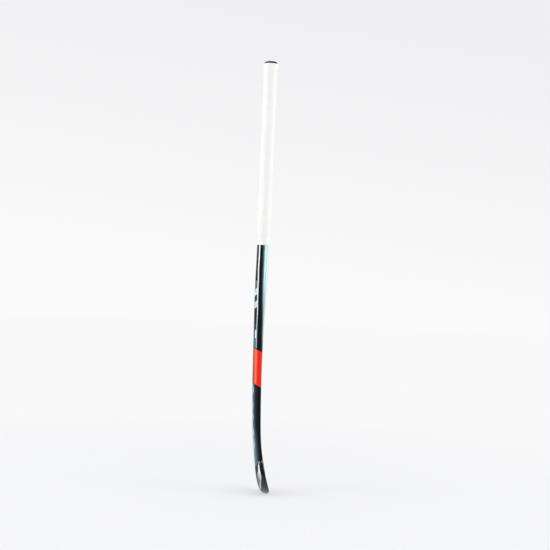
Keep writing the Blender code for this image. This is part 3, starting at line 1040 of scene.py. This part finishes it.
def rubber_look():
    """Black cap rubber with a spark-eroded stipple."""
    look = Look("cap_rubber", Specular_IOR_Level=0.35)
    place = look.place()
    stipple = look.noise(place, 2200.0, 2.0)
    dust = look.noise(place, 160.0, 4.0)
    colour = look.mix(look.rise(dust, 0.45, 0.75), tone("121213"), tone("242426"))
    roughness = look.add(0.5, look.times(stipple, 0.25))
    return look.finish(colour, roughness, look.bump(stipple, 0.00012, 0.7))


def underlay_look():
    """Thin woven underlay, off-white, plain weave."""
    look = Look("underlay", Specular_IOR_Level=0.2, Sheen_Weight=0.2)
    x, y, z = look.split(look.place())
    threads = []
    for value in (look.add(x, y), z):
        threads.append(look.math("ABSOLUTE", look.math("SINE", look.times(value, math.pi / 0.0006))))
    weave = look.math("MAXIMUM", *threads)
    cloud = look.noise(look.place(), 150.0, 4.0)
    colour = look.mix(weave, tone("a39b8b"), tone("d6cfc1"))
    colour = look.mix(look.times(cloud, 0.3), colour, tone("b8b0a0"))
    return look.finish(colour, look.add(0.75, look.times(cloud, 0.15)), look.bump(weave, 0.0002, 0.8))


def grip_look():
    """White cushion grip: soft grained skin with rows of pin holes, and painted shade along the edges
    of the turns.
    """
    look = Look("grip_skin", Specular_IOR_Level=0.3, Sheen_Weight=0.15, Sheen_Roughness=0.5)
    place = look.place()
    at, along, _ = look.split(look.attribute("form"))
    grain = look.node("TexVoronoi", {"Vector": place, "Scale": 1100.0}).outputs["Distance"]
    cloud = look.noise(place, 45.0, 4.0)
    fine = look.noise(place, 2400.0, 2.0)
    hole_u = look.minus(look.math("FRACT", look.times(at, 1 / HOLE_SPACING)), 0.5)
    hole_v = look.minus(look.math("FRACT", look.times(along, 1 / HOLE_SPACING)), 0.5)
    apart = look.math("SQRT", look.add(look.times(hole_u, hole_u), look.times(hole_v, hole_v)))
    middle = look.times(look.rise(at, 7.0, 8.0), look.rise(at, 23.0, 22.0))
    hole = look.times(look.rise(apart, 0.10, 0.05), middle)
    colour = look.mix(cloud, tone("faf9f7"), tone("f5f4f1"))
    colour = look.mix(look.times(hole, 0.55), colour, tone("b9b3a8"))
    # Painted shade along the edges of the turns, where one turn lies over the next
    edge = look.rise(at, STRIP_WIDTH - 1.4, STRIP_WIDTH)
    seat_shade = look.times(look.rise(at, GRIP_OVERLAP + 1.2, GRIP_OVERLAP), 0.5)
    colour = look.mix(look.times(look.add(edge, seat_shade), look.times(cloud, 0.5)), colour, tone("ddd8cf"))
    roughness = look.add(0.55, look.times(cloud, 0.14), look.times(fine, 0.06))
    height = look.minus(look.add(grain, look.times(fine, 0.4)), look.times(hole, 1.5))
    return look.finish(colour, roughness, look.bump(height, 0.00016, 0.55))


def tape_look():
    """White closing tape: smooth vinyl with stretch marks along it."""
    look = Look("closing_vinyl", Specular_IOR_Level=0.5)
    at, along, _ = look.split(look.attribute("form"))
    place = look.place()
    stretched = look.node("CombineXYZ", (look.times(at, 3.0), look.times(along, 0.12), 0.0))
    lines = look.noise(stretched.outputs[0], 1.0, 3.0)
    cloud = look.noise(place, 120.0, 3.0)
    colour = look.mix(cloud, tone("fbfaf8"), tone("f6f5f2"))
    rims = look.math("MAXIMUM", look.rise(at, 0.9, 0.0), look.rise(at, 18.1, 19.0))
    colour = look.mix(look.times(rims, 0.2), colour, tone("d9d6d1"))
    return look.finish(colour, look.add(0.3, look.times(lines, 0.18)), look.bump(lines, 0.00008, 0.5))


# ---------------------------------------------------------------- stage

CAMERA_TARGET = Vector((0.0, 0.0, 0.4655))   # metres
CAMERA_DISTANCE = 2.6
CAMERA_AZIMUTH = 268.0
CAMERA_ROLL = 2.44
CAMERA_LENS = 79.53
CAMERA_SHIFT = 0.0151
WORLD_LIGHT = 0.84
CARD_GLOW = 20.0
WALL_LOW = (0.955, 0.955, 0.965, 1.0)
WALL_HIGH = (0.865, 0.865, 0.88, 1.0)
WALL_HEIGHT = 0.22          # rise of the view from the wall's low tone to its high tone
WALL_LEAN = -0.12
FLOOR_RADIUS = 9.0          # metres
FLOOR_FADE = (0.25, 1.5)    # metres from the stick where the floor turns into the wall
FLOOR_GLOW = 0.5            # share of the wall's glow in the floor beside the stick


def make_camera():
    data = bpy.data.cameras.new("camera")
    data.lens = CAMERA_LENS
    data.shift_x = CAMERA_SHIFT
    data.clip_end = 60.0
    camera = new_object("camera", data)
    azimuth = math.radians(CAMERA_AZIMUTH)
    back = Vector((math.sin(azimuth), -math.cos(azimuth), 0.0))
    up = Vector((0.0, 0.0, 1.0))
    turn = Matrix((up.cross(back), up, back)).transposed()
    roll = Matrix.Rotation(math.radians(CAMERA_ROLL), 3, "Z")
    place = Matrix.Translation(CAMERA_TARGET + back * CAMERA_DISTANCE)
    camera.matrix_world = place @ (turn @ roll).to_4x4()
    bpy.context.scene.camera = camera


def make_world():
    """Near-white surroundings; reflections see a dark room with a pale far wall."""
    world = bpy.data.worlds.new("studio")
    bpy.context.scene.world = world
    world.use_nodes = True
    world.node_tree.nodes.clear()
    nodes = Nodes(world.node_tree)

    def scale(value, low, high, least=0.0, most=1.0):
        ends = {"From Min": low, "From Max": high, "To Min": least, "To Max": most}
        return nodes.node("MapRange", {"Value": value, **ends}).outputs[0]

    def glow(colour, strength):
        return nodes.node("Background", (colour, strength)).outputs[0]

    ways = nodes.node("LightPath").outputs
    x, y, z = nodes.split(nodes.node("TexCoord").outputs["Generated"])
    height = scale(nodes.math("MULTIPLY_ADD", y, WALL_LEAN, z), 0.0, WALL_HEIGHT)
    seen = glow(nodes.mix(height, WALL_LOW, WALL_HIGH), 1.0)
    soft = glow((0.97, 0.98, 1.0, 1.0), WORLD_LIGHT)
    far = nodes.times(scale(x, -0.1, 0.6, 0.09, 0.28), scale(z, -0.5, -0.2))
    ground = scale(z, -0.15, -0.9)
    ceiling = nodes.times(scale(z, 0.35, 0.5, 0.0, 3.0), scale(x, 0.2, 0.45))
    around = nodes.math("MAXIMUM", nodes.math("MAXIMUM", far, ground), ceiling)
    room = glow((0.89, 0.93, 1.0, 1.0), around)
    indirect = nodes.node("MixShader", (ways["Is Glossy Ray"], soft, room)).outputs[0]
    final = nodes.node("MixShader", (ways["Is Camera Ray"], indirect, seen)).outputs[0]
    nodes.node("OutputWorld", (final,))


def make_floor():
    mesh = bmesh.new()
    bmesh.ops.create_circle(mesh, cap_ends=True, segments=96, radius=FLOOR_RADIUS)
    data = bpy.data.meshes.new("studio_floor")
    mesh.to_mesh(data)
    mesh.free()
    floor = new_object("studio_floor", data)
    look = Look("floor_paper", Specular_IOR_Level=0.2)
    place = look.place()
    length = look.node("VectorMath", (place,), operation="LENGTH").outputs["Value"]
    grain = look.noise(place, 400.0, 2.0)
    look.finish((0.86, 0.86, 0.865, 1.0), 0.8, look.bump(grain, 0.0001, 0.1))
    wall = look.node("Emission", {"Color": (0.945, 0.945, 0.955, 1.0), "Strength": 1.0})
    fade = look.add(look.times(look.rise(length, *FLOOR_FADE), 1 - FLOOR_GLOW), FLOOR_GLOW)
    output = look.tree.nodes["Material Output"]
    mixed = look.node("MixShader", (fade, look.shader.outputs[0], wall.outputs[0]))
    look.tree.links.new(mixed.outputs[0], output.inputs["Surface"])
    data.materials.append(look.material)
    floor.visible_glossy = False
    floor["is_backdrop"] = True
    return floor


def make_light(name, place, target, size, power):
    """A softbox, seen by dull surfaces only: the cards make the reflections."""
    data = bpy.data.lights.new(name, "AREA")
    data.shape = "RECTANGLE"
    data.size, data.size_y = size
    data.energy = power
    light = new_object(name, data)
    light.location = place
    light.rotation_mode = "QUATERNION"
    light.rotation_quaternion = (Vector(target) - Vector(place)).to_track_quat("-Z", "Y")
    light.visible_camera = False
    light.visible_glossy = False


def make_card(name, place, across, rise, stops):
    """A glowing card that only reflections see; stops give its glow from bottom to top."""
    centre = Vector(place)
    corners = [(-0.5, -0.5), (0.5, -0.5), (0.5, 0.5), (-0.5, 0.5)]
    points = [centre + Vector(across) * u + Vector(rise) * v for u, v in corners]
    data = bpy.data.meshes.new(name)
    data.from_pydata(points, [], [(0, 1, 2, 3)])
    card = new_object(name, data)
    look = Look(name)
    height = look.split(look.place())[2]
    glow = look.ramp(height, stops)
    strength = look.times(look.node("SeparateColor", (glow,)).outputs[0], CARD_GLOW)
    shine = look.node("Emission", {"Color": (1.0, 1.0, 1.0, 1.0), "Strength": strength})
    look.tree.links.new(shine.outputs[0], look.tree.nodes["Material Output"].inputs["Surface"])
    look.material.cycles.emission_sampling = "NONE"
    data.materials.append(look.material)
    for ray in ("camera", "diffuse", "transmission", "volume_scatter", "shadow"):
        setattr(card, "visible_" + ray, False)
    card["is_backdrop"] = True


def make_studio():
    make_world()
    floor = make_floor()
    for name, y in (("left_softbox", 2.6), ("right_softbox", -2.6)):
        make_light(name, (-0.5, y, 1.5), (0, 0, 0.5), (1.2, 2.0), 21.0)
    left = ((0.02, 0.0), (0.12, 0.0), (0.30, 0.04), (0.62, 0.06), (0.75, 1.0), (2.2, 1.0))
    make_card("left_card", (-0.33, 2.0, 1.1), (0.7, 0, 0), (0, 0, 2.2), left)
    right = ((0.02, 0.0), (0.3, 0.06), (0.5, 0.2), (2.2, 0.2))
    make_card("right_card", (0.3, -2.0, 1.1), (0.8, 0, 0), (0, 0, 2.2), right)
    settings = bpy.context.scene.view_settings
    settings.view_transform = "Standard"
    settings.look = "None"
    return floor


# ---------------------------------------------------------------- the stick

def stand_in(piece, node):
    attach(piece, "root")
    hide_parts(node)


make_camera()
studio_floor = make_studio()

laminate = laminate_look()
foam = foam_look()
elastomer = elastomer_look()
stand_in(stick_shell(lacquer_look(), laminate), "outer_shell")
stand_in(cushion_grip(grip_look()), "grip_wrap")
stand_in(closing_tape(tape_look()), "finishing_tape")
stand_in(end_cap(rubber_look()), "butt_cap")

INSIDE = {
    "toe_side_tube": laminate,
    "heel_side_tube": laminate,
    "toe_tube_plug": foam,
    "heel_tube_plug": foam,
    "head_core": foam,
    "handle_plug": foam,
    "head_damper": elastomer,
    "handle_damper": elastomer,
    "grip_underlay": underlay_look(),
}
for name, material in INSIDE.items():
    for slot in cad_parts[name].material_slots:
        slot.material = material

low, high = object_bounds()
studio_floor.location.z = low.z
